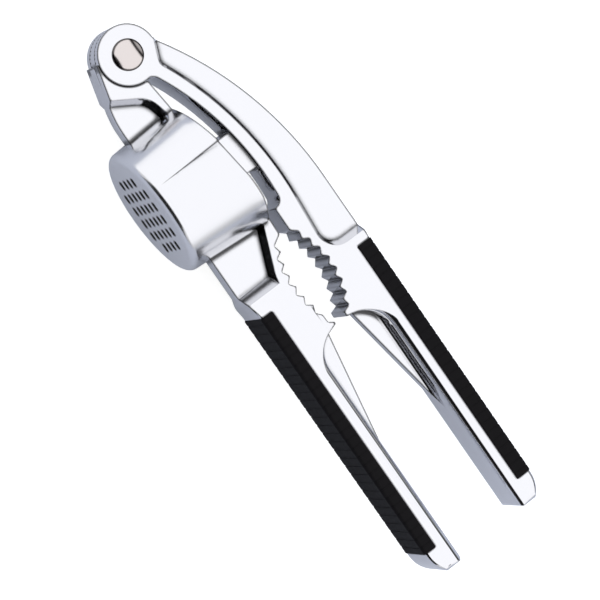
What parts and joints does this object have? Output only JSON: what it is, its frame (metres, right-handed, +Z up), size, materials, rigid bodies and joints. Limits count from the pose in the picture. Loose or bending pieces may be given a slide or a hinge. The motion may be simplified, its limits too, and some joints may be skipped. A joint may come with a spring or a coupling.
{
  "type": "garlic press",
  "caption": "Hand-held cast garlic press with a hinged plunger, a sieved hopper, toothed nutcracker jaws and soft strips on its handles.",
  "frame": {"origin": "middle of the footprint, on the surface that the press lies on when it lies on its side", "axes": "+X from the pivot end to the handle ends, +Y from the lower arm with the hopper to the upper arm, +Z up, along the pivot rivet"},
  "size_m": [0.1814, 0.0478, 0.0414],
  "materials": {
    "casting": "chrome-plated, polished",
    "plunger_metal": "chrome-plated, polished",
    "rivet_steel": "polished steel",
    "grip": "matt, finely ridged"
  },
  "bodies": {
    "lower": {"lower_arm": "casting", "lower_grip": "grip"},
    "upper": {"upper_arm": "casting", "upper_grip": "grip", "rivet_post": "rivet_steel", "rivet_stud": "rivet_steel"},
    "plunger": {"plunger": "plunger_metal", "plunger_pin": "rivet_steel"}
  },
  "joints": [
    {"name": "main_hinge", "type": "hinge", "parent": "lower", "child": "upper", "pos_m": [-0.08188, -0.00405, 0.02068], "axis": [0, 0, 1], "range_deg": [0, 90]},
    {"name": "plunger_hinge", "type": "hinge", "parent": "upper", "child": "plunger", "pos_m": [-0.04127, -0.0111, 0.02068], "axis": [0, 0, 1], "range_deg": [-90, 0]}
  ],
  "couplings": [
    {"joint": "plunger_hinge", "follows": "main_hinge", "ratio": -1}
  ]
}
